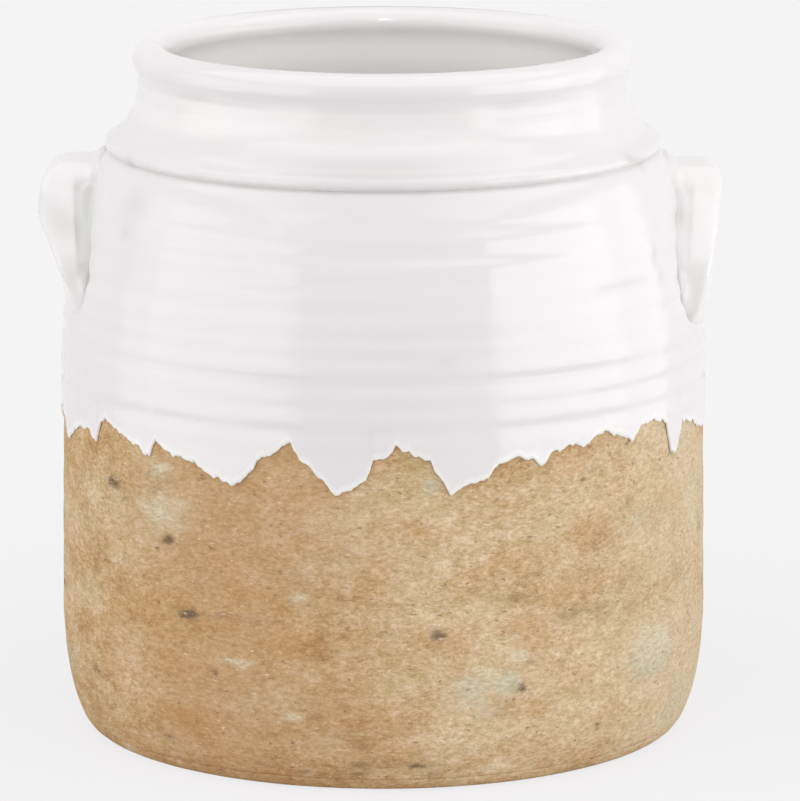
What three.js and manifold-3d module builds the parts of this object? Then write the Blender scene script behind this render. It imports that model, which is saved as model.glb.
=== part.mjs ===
// Stoneware crock vase: a slab base, a thrown wall, a flared collar and a rolled rim, stacked and luted
// together, with a folded ear pressed on each side, a liner glaze poured inside and a white coat dipped
// over the upper half. Millimetres, +Z up, origin at the middle of the foot, front of the vase on -Y.

import * as THREE from 'three';
import { mergeVertices } from 'three/addons/utils/BufferGeometryUtils.js';
import Module from 'manifold-3d';

// Overall form, measured on the clay
const footRadius = 103.7; // where the heel meets the table
const bellyRadius = 115; // widest part of the bare clay
const bellyDrawIn = 1; // how far the wall leans in by the top of the belly
const heelHeight = 45; // the heel is rounded up to here
const shoulderStart = 125; // the wall starts to turn in here
const shoulderPull = 50; // how far above that the shoulder's curve is pulled before it turns
const grooveHeight = 206.5; // the wall stops here, and the collar is luted on
const collarHeight = 28.7; // groove to the rim's seat
const grooveRadius = 97.4;
const neckRadius = 86; // outside of the collar under the rim
const neckLength = 8; // straight stretch of the collar under the rim
const skirtPull = 3; // the flare's curve is pulled in to this far outside the neck
const skirtPullHeight = 9; // and this far above the groove

// Clay and glaze thicknesses
const wall = 7.5;
const rimOverhang = 1.45; // how far the rolled rim stands out past both faces of the collar
const outerGlaze = 0.9;
const linerGlaze = 0.8;
const glazeBond = 0.1; // between a glaze and the clay under it
const luting = 0.3; // slip film between two luted pieces

// Groove and lip where the collar sits on the shoulder
const grooveDepth = 2;
const grooveOpening = 3; // height of the groove's mouth
const lipStand = 0.8; // how far the collar's lower edge stands out over the shoulder

// Base slab
const slabThickness = 9.5;
const seamHeight = 4.5; // the wall laps the slab's edge down to this height
const footStep = 3.5; // how far the wall's foot reaches in past its own inside face
const recessDepth = 1.5; // turned recess under the slab
const footWidth = 14; // of the ring that it leaves to stand on
const recessSlope = 2;

// Ears: a thick flap of clay, arched from its wide foot to its folded top and pressed on the shoulder.
// Between its edge and the wall runs a narrow, shallow fold.
const leftEarLength = 58; // from the groove down to the ear's lower end
const rightEarLength = 60.5;
const leftEarDrop = 0.2; // how far the ear's top is below the groove
const rightEarDrop = 1.8;
const leftKnuckleStand = 7.7; // how far the knuckle stands out past the belly
const rightKnuckleStand = 4.8;
const leftKnuckleDrop = 19; // below the ear's top
const rightKnuckleDrop = 8.5;
const leftKnuckleRound = 13.5;
const rightKnuckleRound = 8.8;
const leftBulge = 4; // the outside under the knuckle is pulled out this far past the belly
const rightBulge = 2;
const leftBulgeRise = 13; // and this far above the ear's lower end
const rightBulgeRise = 28;
const flapTop = 7.4; // thickness of the flap where it folds over to the wall
const foldSetBack = 4.6; // the fold's outer side is this far inside the top of the belly
const foldDepth = 3; // how far the fold reaches in from the flap's edge
const earFoot = 42; // half width of the flap at its foot
const earFootRise = 17; // it is widest this far above its lower end
const earShoulder = 18; // half width under its folded top
const earShoulderDrop = 11; // below its top
const earBendRadius = 320; // across its width the flap is flatter than the wall
const tailLength = 20; // over this length above its lower end it bends in to the wall's own curve

// Lower edge of the white coat: turning points as [degrees from the front, height], going round to the right
const glazeEdge = [
  [-180, 113], [-174, 118], [-168, 116], [-165, 108], [-161, 112], [-156, 120], [-150, 119], [-147, 111],
  [-141, 106], [-136, 109], [-132, 117], [-126, 121], [-121, 118], [-118, 112], [-112, 109], [-107, 114],
  [-101, 119], [-96, 116], [-92, 108], [-87, 112], [-82, 117], [-77, 113], [-75, 107], [-72, 111],
  [-67, 115], [-63, 115], [-60.5, 112.5], [-59, 119], [-57, 121], [-52, 117], [-47, 115], [-46, 112],
  [-44.5, 112.5], [-43, 118.5], [-41, 115.5], [-35, 113], [-29, 108], [-26, 107], [-24, 110], [-22, 116],
  [-18, 120.5], [-16, 123], [-14.5, 117.5], [-11, 112], [-8, 105.5], [-3, 110.5], [-1.8, 117], [1, 120],
  [2, 122.5], [5, 120], [8, 117], [9.5, 112], [11.5, 105.5], [14, 108.5], [18, 110.5], [20, 115],
  [23, 117], [26.5, 115.5], [27.7, 113], [30, 116.5], [34, 119], [38, 118.5], [41.5, 122.5], [45, 119.5],
  [48.5, 116.5], [51, 120.5], [54.5, 122], [59, 119], [60.7, 108], [62.3, 107], [65.5, 117.5], [71, 115],
  [78, 110], [84, 112], [90, 118], [95, 116], [99, 109], [104, 107], [109, 113], [115, 120],
  [120, 118], [124, 110], [130, 108], [136, 115], [141, 121], [147, 118], [151, 110], [156, 106],
  [162, 111], [168, 119], [175, 117],
];

// Smoothness
const turns = 48; // flats round the vase
const curveSteps = 5; // flats along each curve of the profile
const earSteps = 12; // flats across an ear

const wasm = await Module();
wasm.setup();

const point = (radius, z) => new THREE.Vector2(radius, z);

// The points of a profile moved sideways, outwards where the distance is positive.
function offset(points, distance) {
  const normals = points.slice(1).map((p, i) => {
    const along = p.clone().sub(points[i]).normalize();
    return point(along.y, -along.x);
  });
  return points.map((p, i) => {
    const before = normals[Math.max(i - 1, 0)];
    const after = normals[Math.min(i, normals.length - 1)];
    const middle = before.clone().add(after).normalize();
    return p.clone().addScaledVector(middle, distance / middle.dot(before));
  });
}

// The stretch of a rising profile between two heights.
function between(points, low, high) {
  const cut = [];
  points.forEach((p, i) => {
    const last = points[i - 1];
    for (const z of [low, high]) {
      if (last && (last.y - z) * (p.y - z) < 0) cut.push(last.clone().lerp(p, (z - last.y) / (p.y - last.y)));
    }
    if (p.y >= low && p.y <= high) cut.push(p.clone());
  });
  return cut;
}

// A closed profile of radius and height, turned round the vertical axis.
function turned(profile) {
  const geometry = new THREE.LatheGeometry([...profile, profile[0]], turns);
  return geometry.rotateX(Math.PI / 2);
}

function solid(geometry) {
  geometry.deleteAttribute('normal');
  geometry.deleteAttribute('uv');
  const merged = mergeVertices(geometry);
  return new wasm.Manifold(new wasm.Mesh({
    numProp: 3,
    vertProperties: merged.attributes.position.array,
    triVerts: new Uint32Array(merged.index.array),
  }));
}

function geometryOf(manifold) {
  const { vertProperties, triVerts } = manifold.getMesh();
  const geometry = new THREE.BufferGeometry();
  geometry.setAttribute('position', new THREE.BufferAttribute(vertProperties, 3));
  geometry.setIndex(new THREE.BufferAttribute(triVerts, 1));
  geometry.computeVertexNormals();
  return geometry;
}

// The clay's outside, from the table to the rim's seat
const rimRadius = neckRadius - wall / 2;
const rimRoll = wall / 2 + rimOverhang;
const rimSeat = grooveHeight + collarHeight;
const rimCentre = rimSeat + Math.sqrt(rimRoll ** 2 - (wall / 2) ** 2);
const upperRadius = bellyRadius - bellyDrawIn;

const heel = new THREE.EllipseCurve(
  footRadius, heelHeight, bellyRadius - footRadius, heelHeight, -Math.PI / 2, 0);
const shoulder = new THREE.QuadraticBezierCurve(
  point(upperRadius, shoulderStart),
  point(upperRadius, shoulderStart + shoulderPull),
  point(grooveRadius, grooveHeight));
const skirt = new THREE.QuadraticBezierCurve(
  point(grooveRadius, grooveHeight),
  point(neckRadius + skirtPull, grooveHeight + skirtPullHeight),
  point(neckRadius, rimSeat - neckLength));

const outside = [
  ...heel.getPoints(curveSteps),
  ...shoulder.getPoints(curveSteps),
  ...skirt.getPoints(curveSteps - 1).slice(1),
  point(neckRadius, rimSeat),
];
const inside = offset(outside, -wall);
const radiusAt = (profile, z) => between(profile, z, rimSeat)[0].x;
const floorRadius = radiusAt(inside, slabThickness) - footStep;

// The groove cut into the wall's top edge, and the lip of the collar over it
const grooveFloor = point(grooveRadius - grooveDepth, grooveHeight);
const grooveLow = grooveHeight - grooveOpening / 2;
const lipHeight = grooveHeight + grooveOpening / 2;
const wallOutside = [
  ...between(outside, seamHeight + luting, grooveLow),
  grooveFloor,
];
const collarOutside = [
  point(grooveFloor.x, grooveHeight + luting),
  point(radiusAt(outside, lipHeight) + lipStand, lipHeight),
  ...between(outside, lipHeight + grooveOpening, rimSeat - luting),
];

// Half of the rolled rim's outline, from its seat up to the crest: side is 1 for its outer half
function rollSide(side) {
  const seatAngle = Math.atan2(rimSeat - rimCentre, wall / 2);
  const arc = new THREE.EllipseCurve(rimRadius, rimCentre, rimRoll, rimRoll, seatAngle, Math.PI / 2);
  return arc.getPoints(curveSteps).map((p) => point(rimRadius + side * (p.x - rimRadius), p.y));
}

function baseSlab() {
  const recessRadius = footRadius - footWidth;
  return turned([
    point(0, recessDepth),
    point(recessRadius - recessSlope, recessDepth),
    point(recessRadius, 0),
    ...between(outside, 0, seamHeight),
    point(floorRadius, seamHeight),
    point(floorRadius, slabThickness),
    point(0, slabThickness),
  ]);
}

function bodyWall() {
  const insideRise = between(inside, slabThickness, grooveHeight);
  return turned([
    point(floorRadius + luting, seamHeight + luting),
    ...wallOutside,
    ...insideRise.reverse(),
    point(floorRadius + luting, slabThickness),
  ]);
}

function neckCollar() {
  const insideRise = between(inside, grooveHeight + luting, rimSeat - luting);
  return turned([...collarOutside, ...insideRise.reverse()]);
}

function rolledRim() {
  return turned([...rollSide(1), ...rollSide(-1).reverse().slice(1)]);
}

// A glaze is the space between two offsets of the surface that it covers.
function glazeSkin(surface, thickness, side) {
  const back = offset(surface, side * glazeBond);
  const face = offset(surface, side * (glazeBond + thickness));
  return { back, face };
}

const tailRadius = upperRadius + outerGlaze + glazeBond; // the ear's lower end is flush with the glaze

const earRoot = neckRadius - wall; // deep enough to pass the wall at the ear's corners

// The ear's section in radius and height, as far back as inside the wall, grown by a clearance
function earSection({ top, bottom, reach, knuckleHeight, knuckleRound, bulge, bulgeHeight }, grown) {
  const high = top + grown;
  const low = bottom - grown;
  const shape = new THREE.Shape();
  shape.moveTo(earRoot, high);
  shape.lineTo(earRoot, low);
  shape.lineTo(tailRadius + grown, low);
  shape.quadraticCurveTo(bulge + grown, bulgeHeight, reach + grown, knuckleHeight);
  shape.quadraticCurveTo(reach + grown, high, reach - knuckleRound, high);
  shape.closePath();
  return shape;
}

// The section of the space between the flap and the wall, under the flap's top
function foldSection({ top, bottom }, shrunk) {
  const high = top - flapTop - shrunk;
  const outer = upperRadius - foldSetBack - shrunk;
  const shape = new THREE.Shape();
  shape.moveTo(earRoot, high);
  shape.lineTo(earRoot, bottom);
  shape.lineTo(outer, bottom);
  shape.lineTo(outer, high);
  shape.closePath();
  return shape;
}

// Across its width the ear's lower end follows the wall's curve, and its upper part is flatter.
function bendRound(geometry, bottom) {
  const position = geometry.attributes.position;
  for (let i = 0; i < position.count; i++) {
    const flatness = THREE.MathUtils.smoothstep(position.getZ(i), bottom, bottom + tailLength);
    const bendRadius = 1 / THREE.MathUtils.lerp(1 / upperRadius, 1 / earBendRadius, flatness);
    const sag = bendRadius - Math.sqrt(bendRadius ** 2 - position.getY(i) ** 2);
    position.setX(i, position.getX(i) - sag);
  }
  return geometry;
}

function earBar(section, bottom) {
  const halfLength = earFoot + wall; // past the ear's edges on both sides
  const geometry = new THREE.ExtrudeGeometry(section, {
    depth: 2 * halfLength,
    steps: earSteps,
    curveSegments: curveSteps,
    bevelEnabled: false,
  });
  geometry.translate(0, 0, -halfLength).rotateX(Math.PI / 2);
  return solid(bendRound(geometry, bottom));
}

// The arch that the ear shows from the side, drawn in by an inset, as a bar out through the wall
function earArch({ top, bottom }, inset) {
  const foot = earFoot - inset;
  const shoulder = earShoulder - inset;
  const low = bottom + inset;
  const high = top - inset;
  const widest = bottom + earFootRise;
  const shoulderHeight = top - earShoulderDrop;
  const shape = new THREE.Shape();
  shape.moveTo(-foot / 2, low);
  shape.lineTo(foot / 2, low);
  shape.quadraticCurveTo(foot, low, foot, widest);
  shape.quadraticCurveTo(foot, (widest + shoulderHeight) / 2, shoulder, shoulderHeight);
  shape.quadraticCurveTo(shoulder / 2, high, 0, high);
  shape.quadraticCurveTo(-shoulder / 2, high, -shoulder, shoulderHeight);
  shape.quadraticCurveTo(-foot, (widest + shoulderHeight) / 2, -foot, widest);
  shape.quadraticCurveTo(-foot, low, -foot / 2, low);
  const geometry = new THREE.ExtrudeGeometry(shape, {
    depth: bellyRadius,
    curveSegments: curveSteps,
    bevelEnabled: false,
  });
  const outwards = new THREE.Matrix4().makeBasis(
    new THREE.Vector3(0, 1, 0), new THREE.Vector3(0, 0, 1), new THREE.Vector3(1, 0, 0));
  geometry.applyMatrix4(outwards).translate(bellyRadius / 2, 0, 0);
  return solid(geometry);
}

// One ear before it is trimmed to the wall, grown by a clearance on every side
function earBlank(sizes, grown) {
  const fold = earBar(foldSection(sizes, grown), sizes.bottom).subtract(earArch(sizes, foldDepth - grown));
  return earBar(earSection(sizes, grown), sizes.bottom).intersect(earArch(sizes, -grown)).subtract(fold);
}

const wallEnvelope = solid(turned([
  point(0, seamHeight), ...offset(between(outside, seamHeight, rimSeat), luting), point(0, rimSeat),
]));

function ear(sizes) {
  return earBlank(sizes, 0).subtract(wallEnvelope);
}

function earSizes({ drop, length, stand, knuckleDrop, knuckleRound, bulge, bulgeRise }) {
  const top = grooveLow - drop;
  const bottom = top - length;
  return {
    top,
    bottom,
    reach: bellyRadius + stand,
    knuckleHeight: top - knuckleDrop,
    knuckleRound,
    bulge: bellyRadius + bulge,
    bulgeHeight: bottom + bulgeRise,
  };
}

const leftEar = earSizes({
  drop: leftEarDrop, length: leftEarLength, stand: leftKnuckleStand, knuckleDrop: leftKnuckleDrop,
  knuckleRound: leftKnuckleRound, bulge: leftBulge, bulgeRise: leftBulgeRise,
});
const rightEar = earSizes({
  drop: rightEarDrop, length: rightEarLength, stand: rightKnuckleStand, knuckleDrop: rightKnuckleDrop,
  knuckleRound: rightKnuckleRound, bulge: rightBulge, bulgeRise: rightBulgeRise,
});

// The coat's shell is made to a little below the lowest point of its edge, and then cut to that edge.
const coatBottom = Math.min(...glazeEdge.map(([, z]) => z)) - wall;

// Everything below the coat's ragged edge, as a ring whose top follows the edge's turning points.
function belowGlazeEdge() {
  const inner = upperRadius - wall;
  const outer = bellyRadius + wall;
  const floor = coatBottom - wall;
  const positions = [];
  const index = [];
  glazeEdge.forEach(([degrees, z]) => {
    const angle = THREE.MathUtils.degToRad(degrees);
    for (const [radius, level] of [[inner, floor], [outer, floor], [outer, z], [inner, z]]) {
      positions.push(radius * Math.sin(angle), -radius * Math.cos(angle), level);
    }
  });
  glazeEdge.forEach((_, i) => {
    const here = 4 * i;
    const next = 4 * ((i + 1) % glazeEdge.length);
    for (let k = 0; k < 4; k++) {
      const m = (k + 1) % 4;
      index.push(here + k, next + k, next + m, here + k, next + m, here + m);
    }
  });
  const geometry = new THREE.BufferGeometry();
  geometry.setAttribute('position', new THREE.Float32BufferAttribute(positions, 3));
  geometry.setIndex(index);
  return solid(geometry);
}

function outerGlazeCoat() {
  const covered = [...between(wallOutside, coatBottom, grooveHeight), ...collarOutside.slice(1), ...rollSide(1)];
  const { back, face } = glazeSkin(covered, outerGlaze, 1);
  return solid(turned([...face, ...back.reverse()]))
    .subtract(belowGlazeEdge())
    .subtract(earBlank(rightEar, glazeBond))
    .subtract(earBlank(leftEar, glazeBond).rotate([0, 0, 180]));
}

function linerGlazeCoat() {
  const rise = between(inside, slabThickness, rimSeat);
  const covered = [point(0, slabThickness), ...rise, ...rollSide(-1).slice(1)];
  const { back, face } = glazeSkin(covered, linerGlaze, -1);
  return turned([...back, ...face.reverse()]);
}

const bareClay = new THREE.MeshStandardMaterial({ color: 0xc6a16f, roughness: 0.92, metalness: 0 });
const whiteGlaze = new THREE.MeshStandardMaterial({ color: 0xf1efec, roughness: 0.22, metalness: 0 });

const vase = new THREE.Group();

function add(name, geometry, finish) {
  const mesh = new THREE.Mesh(geometry, finish.clone());
  mesh.name = name;
  vase.add(mesh);
  return mesh;
}

add('base_slab', baseSlab(), bareClay);
add('body_wall', bodyWall(), bareClay);
add('neck_collar', neckCollar(), bareClay);
add('rolled_rim', rolledRim(), bareClay);
add('right_ear', geometryOf(ear(rightEar)), whiteGlaze);
add('left_ear', geometryOf(ear(leftEar)), whiteGlaze).rotateZ(Math.PI);
add('outer_glaze', geometryOf(outerGlazeCoat()), whiteGlaze);
add('liner_glaze', linerGlazeCoat(), whiteGlaze);

export default vase;
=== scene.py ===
# Stoneware crock vase: bare tan clay below, a white glaze dipped over the upper half, a poured liner
# and two folded ears. Dictionaries are in millimetres and degrees; azimuth 0 is the front (-Y), 90 is +X.

import math
import random
import bpy
import bmesh
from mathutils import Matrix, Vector, noise


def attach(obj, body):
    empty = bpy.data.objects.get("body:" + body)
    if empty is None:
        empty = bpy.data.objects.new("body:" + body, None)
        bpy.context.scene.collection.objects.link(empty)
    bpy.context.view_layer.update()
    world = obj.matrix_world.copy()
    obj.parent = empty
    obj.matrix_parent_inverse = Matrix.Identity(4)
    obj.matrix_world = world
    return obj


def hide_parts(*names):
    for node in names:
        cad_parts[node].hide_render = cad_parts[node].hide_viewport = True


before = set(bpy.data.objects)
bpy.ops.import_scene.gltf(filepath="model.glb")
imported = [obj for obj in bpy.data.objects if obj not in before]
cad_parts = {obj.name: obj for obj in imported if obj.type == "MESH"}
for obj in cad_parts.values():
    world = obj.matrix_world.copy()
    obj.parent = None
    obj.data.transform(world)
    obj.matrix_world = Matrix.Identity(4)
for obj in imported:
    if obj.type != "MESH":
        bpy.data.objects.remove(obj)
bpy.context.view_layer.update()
mm = 0.001
print("frame loaded:", len(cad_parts), "nodes")


# small helpers

helper = {
    "samePoint": 0.001,  # points nearer than this are one point
    "noiseGain": 1.6,  # brings Blender's noise to about -1 to 1
    "seedSteps": (7.31, 3.17, 5.53),
    "tableSteps": 4,  # steps a millimetre in a table of radii
    "tableTop": 246,
    "reach": 2,  # half widths to where a mark has run out
}


def smoothStep(low, high, value):
    t = min(max((value - low) / (high - low), 0.0), 1.0)
    return t * t * (3 - 2 * t)


# 1 between the two middle limits, falling to 0 at the outer two
def between(limits, value):
    return smoothStep(limits[0], limits[1], value) * (1 - smoothStep(limits[2], limits[3], value))


def mix(a, b, t):
    return a + (b - a) * t


# from one azimuth to another the short way round, -180 to 180
def turnFrom(start, azimuth):
    return (azimuth - start + 180) % 360 - 180


# noise on the pot's surface, about -1 to 1
def wave(azimuth, z, size, seed):
    a = math.radians(azimuth)
    spot = Vector((pot["bellyRadius"] * math.sin(a), -pot["bellyRadius"] * math.cos(a), z)) / size
    return noise.noise(spot + Vector([seed * step for step in helper["seedSteps"]])) * helper["noiseGain"]


def quadratic(start, pull, end, steps):
    points = []
    for i in range(steps + 1):
        t = i / steps
        points.append(tuple((1 - t) ** 2 * a + 2 * t * (1 - t) * b + t * t * c
                            for a, b, c in zip(start, pull, end)))
    return points


# a rising line of (radius, z) moved outwards by a distance
def shifted(line, distance):
    moved = []
    for i, (r, z) in enumerate(line):
        before = line[max(i - 1, 0)]
        after = line[min(i + 1, len(line) - 1)]
        along = Vector((after[0] - before[0], after[1] - before[1])).normalized()
        moved.append((r + along.y * distance, z - along.x * distance))
    return moved


def radiusAt(line, z):
    for (r0, z0), (r1, z1) in zip(line, line[1:]):
        if z0 <= z <= z1 and z1 > z0:
            return mix(r0, r1, (z - z0) / (z1 - z0))
    return line[0][0] if z < line[0][1] else line[-1][0]


# the line's points at these heights
def pointsAt(line, heights):
    return [(radiusAt(line, z), z) for z in heights]


# radiusAt from a table, because it is asked for every point
def quickRadius(line):
    steps = helper["tableSteps"]
    table = [radiusAt(line, i / steps) for i in range(steps * helper["tableTop"])]

    def radius(z):
        place = min(max(z * steps, 0.0), len(table) - 1.01)  # the place after it is still in the table
        return mix(table[int(place)], table[int(place) + 1], place % 1)
    return radius


# a closed mesh turned round the pot's axis from a loop of (radius, z) points
def spun(profile, steps):
    bm = bmesh.new()
    verts = [bm.verts.new((0.0, -r, z)) for r, z in profile]
    edges = []
    for first, second in zip(verts, verts[1:] + verts[:1]):
        if first.co.y < 0 or second.co.y < 0:  # no edge along the axis
            edges.append(bm.edges.new((first, second)))
    bmesh.ops.spin(bm, geom=verts + edges, axis=(0, 0, 1), cent=(0, 0, 0),
                   angle=2 * math.pi, steps=steps, use_merge=True)
    poles = [v for v in bm.verts if v.co.xy.length < helper["samePoint"]]
    bmesh.ops.remove_doubles(bm, verts=poles, dist=helper["samePoint"])
    bmesh.ops.recalc_face_normals(bm, faces=bm.faces)
    return bm


# a closed bar pulled out from a flat outline
def extruded(outline, along):
    bm = bmesh.new()
    end = bm.faces.new([bm.verts.new(point) for point in outline])
    grown = bmesh.ops.extrude_face_region(bm, geom=[end])["geom"]
    bmesh.ops.translate(bm, vec=along, verts=[v for v in grown if isinstance(v, bmesh.types.BMVert)])
    return bm


def polar(vert):
    return math.degrees(math.atan2(vert.co.x, -vert.co.y)), vert.co.xy.length, vert.co.z


def moveTo(vert, azimuth, r, z):
    a = math.radians(azimuth)
    vert.co = (r * math.sin(a), -r * math.cos(a), z)


def addObject(name, bm):
    mesh = bpy.data.meshes.new(name)
    bm.to_mesh(mesh)
    bm.free()
    made = bpy.data.objects.new(name, mesh)
    bpy.context.scene.collection.objects.link(made)
    return made


# the finished piece in metres, riding on the pot
def addPiece(name, bm, material, stands):
    bmesh.ops.scale(bm, vec=(mm, mm, mm), verts=bm.verts)
    piece = addObject(name, bm)
    mesh = piece.data
    mesh.polygons.foreach_set("use_smooth", [True] * len(mesh.polygons))
    mesh.materials.append(material)
    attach(piece, "root")
    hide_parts(*stands)
    print("made", name, len(mesh.vertices), "points")
    return piece


# node helpers

def newMaterial(name):
    material = bpy.data.materials.new(name)
    material.use_nodes = True
    material.node_tree.nodes.clear()
    return material


def addNode(tree, kind, inputs=None, **settings):
    made = tree.nodes.new("ShaderNode" + kind)
    for name, value in settings.items():
        setattr(made, name, value)
    for name, value in (inputs or {}).items():
        if isinstance(value, bpy.types.NodeSocket):
            tree.links.new(value, made.inputs[name])
        else:
            made.inputs[name].default_value = value
    return made


def calculate(tree, operation, first, second=0.0, third=0.0):
    return addNode(tree, "Math", {0: first, 1: second, 2: third}, operation=operation).outputs[0]


def mapRange(tree, value, start, end, toStart=0.0, toEnd=1.0):
    return addNode(tree, "MapRange", {"Value": value, "From Min": start, "From Max": end,
                                      "To Min": toStart, "To Max": toEnd}).outputs["Result"]


def ramp(tree, factor, stops):
    made = addNode(tree, "ValToRGB", {"Fac": factor})
    elements = made.color_ramp.elements
    while len(elements) < len(stops):
        elements.new(0.5)
    for element, (position, colour) in zip(elements, stops):
        element.position = position
        element.color = (*colour, 1.0)
    return made.outputs["Color"]


def mixColour(tree, factor, first, second, blend="MIX"):
    made = addNode(tree, "Mix", data_type="RGBA", blend_type=blend)
    for socket, value in ((made.inputs[0], factor), (made.inputs[6], first), (made.inputs[7], second)):
        if isinstance(value, bpy.types.NodeSocket):
            tree.links.new(value, socket)
        else:
            socket.default_value = value if isinstance(value, float) else (*value, 1.0)
    return made.outputs[2]


def noiseAt(tree, place, scale, detail, roughness, distortion=0.0):
    return addNode(tree, "TexNoise", {"Vector": place, "Scale": scale, "Detail": detail,
                                      "Roughness": roughness, "Distortion": distortion}).outputs["Fac"]


# red, green, blue and alpha of a painted attribute
def paintedChannels(tree, name):
    painted = addNode(tree, "Attribute", attribute_name=name).outputs
    parts = addNode(tree, "SeparateColor", {"Color": painted["Color"]}).outputs
    return parts[0], parts[1], parts[2], painted["Alpha"]


# a pattern squeezed in height, so that its marks lie along the pot
def squeezed(tree, spot, times):
    return addNode(tree, "Mapping", {"Vector": spot, "Scale": (1.0, 1.0, times)}).outputs["Vector"]


def bumped(tree, height, strength, distance):
    return addNode(tree, "Bump", {"Strength": strength, "Distance": distance,
                                  "Height": height}).outputs["Normal"]


def toOutput(tree, shader, kind="OutputMaterial"):
    tree.links.new(shader.outputs[0], addNode(tree, kind).inputs["Surface"])


# sRGB from 0 to 255 to the linear values that shaders take
def linear(colour):
    return tuple(((c / 255 + 0.055) / 1.055) ** 2.4 for c in colour)


# the pot's outside line, on the clay

pot = {
    "footRadius": 103.7,
    "bellyRadius": 115,
    "upperRadius": 114,
    "heelHeight": 45,
    "shoulderStart": 125,
    "shoulderPull": 50,
    "grooveHeight": 206.5,
    "grooveRadius": 97.4,
    "skirtPull": (89, 215.5),
    "neckStart": 227.2,
    "neckRadius": 86,
    "rimSeat": 235.2,
    "rollCentre": (82.25, 238.8),  # of the rim's round section: radius, height
    "rollRadius": 5.3,  # of the clay under the glaze
    "wall": 7.5,
    "heelSteps": 12,
    "bellySteps": 8,
    "shoulderSteps": 40,
    "skirtSteps": 16,
    "turns": 600,
}

heelBulge = pot["bellyRadius"] - pot["footRadius"]
heelLine = []
for i in range(pot["heelSteps"] + 1):
    turn = math.radians(90 * i / pot["heelSteps"] - 90)
    heelLine.append((pot["footRadius"] + heelBulge * math.cos(turn),
                     pot["heelHeight"] * (1 + math.sin(turn))))
bellyLine = []
for i in range(1, pot["bellySteps"]):
    rise = i / pot["bellySteps"]
    bellyLine.append((mix(pot["bellyRadius"], pot["upperRadius"], rise),
                      mix(pot["heelHeight"], pot["shoulderStart"], rise)))
shoulderLine = quadratic((pot["upperRadius"], pot["shoulderStart"]),
                         (pot["upperRadius"], pot["shoulderStart"] + pot["shoulderPull"]),
                         (pot["grooveRadius"], pot["grooveHeight"]), pot["shoulderSteps"])
skirtLine = quadratic((pot["grooveRadius"], pot["grooveHeight"]), pot["skirtPull"],
                      (pot["neckRadius"], pot["neckStart"]), pot["skirtSteps"])
clayLine = heelLine + bellyLine + shoulderLine + skirtLine[1:] + [(pot["neckRadius"], pot["rimSeat"])]
clayRadius = quickRadius(clayLine)


# points round the rim's section: 0 degrees is outwards, 90 is up
def onRoll(radius, degrees):
    across, up = pot["rollCentre"]
    return [(across + radius * math.cos(math.radians(d)), up + radius * math.sin(math.radians(d)))
            for d in degrees]


# the white coat's ragged edge is read from the CAD coat: its points under the shoulder are that edge

ragged = {
    "highest": 124.5,  # the CAD coat's points under this height are its edge
    "tooth": 0.9,  # height of the small teeth
    "toothSize": 3.4,
    "crumb": 0.45,
    "crumbSize": 1.3,
    "seed": 4,
}

edgePoints = {}
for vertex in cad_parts["outer_glaze"].data.vertices:
    x, y, z = vertex.co / mm
    if z < ragged["highest"]:
        edgePoints[round(math.degrees(math.atan2(x, -y)), 1)] = z
edgeTable = sorted(edgePoints.items())
print("ragged edge:", len(edgeTable), "turning points")
(firstAngle, firstHeight), (lastAngle, lastHeight) = edgeTable[0], edgeTable[-1]
edgeTable = [(lastAngle - 360, lastHeight)] + edgeTable + [(firstAngle + 360, firstHeight)]


def plainEdge(azimuth):
    low, high = 0, len(edgeTable) - 1
    while high - low > 1:
        middle = (low + high) // 2
        if edgeTable[middle][0] <= azimuth:
            low = middle
        else:
            high = middle
    (a0, z0), (a1, z1) = edgeTable[low], edgeTable[high]
    return mix(z0, z1, (azimuth - a0) / (a1 - a0))


def edgeHeight(azimuth):
    teeth = wave(azimuth, 0, ragged["toothSize"], ragged["seed"]) * ragged["tooth"]
    crumbs = wave(azimuth, 0, ragged["crumbSize"], ragged["seed"] + 1) * ragged["crumb"]
    return plainEdge(azimuth) + teeth + crumbs


# throwing grooves that the potter's fingers left, on clay and glaze alike

throwing = {
    # height, depth, half width, tilt, azimuth of the tilt
    "grooves": [
        (194, 0.26, 2.2, 0.4, 20), (185.8, 0.48, 2.4, 0.5, -40), (176.5, 0.34, 2, 0.4, -40),
        (167, 0.54, 2.2, 0.5, 0), (158.8, 0.52, 2, 0.5, 70), (151.8, 0.58, 1.9, 0.5, -10),
        (143.4, 0.67, 2.1, 0.7, -60), (134.8, 0.50, 1.8, 0.5, 30), (126.6, 0.42, 2, 0.5, 20),
        (118, 0.16, 2.4, 0.5, -30), (109, 0.13, 3, 0.5, 0), (96, 0.13, 3.5, 0.6, 40),
        (81, 0.13, 3.5, 0.6, -50), (66, 0.16, 4, 0.6, 10), (50, 0.13, 4, 0.6, 80),
        (34, 0.13, 4, 0.6, 120), (221, 0.21, 1.8, 0.3, 0), (228, 0.21, 1.8, 0.3, 90),
    ],
    "unevenness": 0.7,  # how much each groove fades and deepens round the pot
    "fadeSize": 55,
    "faintest": 0.1,
    "reach": 2.5,  # half widths to where a groove has run out
    "wobble": 0.12,
    "wobbleSize": 34,
    "seed": 11,
}

grooveFades = []  # each groove's depth at each degree round the pot
for i, groove in enumerate(throwing["grooves"]):
    fades = []
    for turn in range(361):
        uneven = 1 + throwing["unevenness"] * wave(turn, groove[0], throwing["fadeSize"], i)
        fades.append(groove[1] * max(uneven, throwing["faintest"]))
    grooveFades.append(fades)


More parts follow.
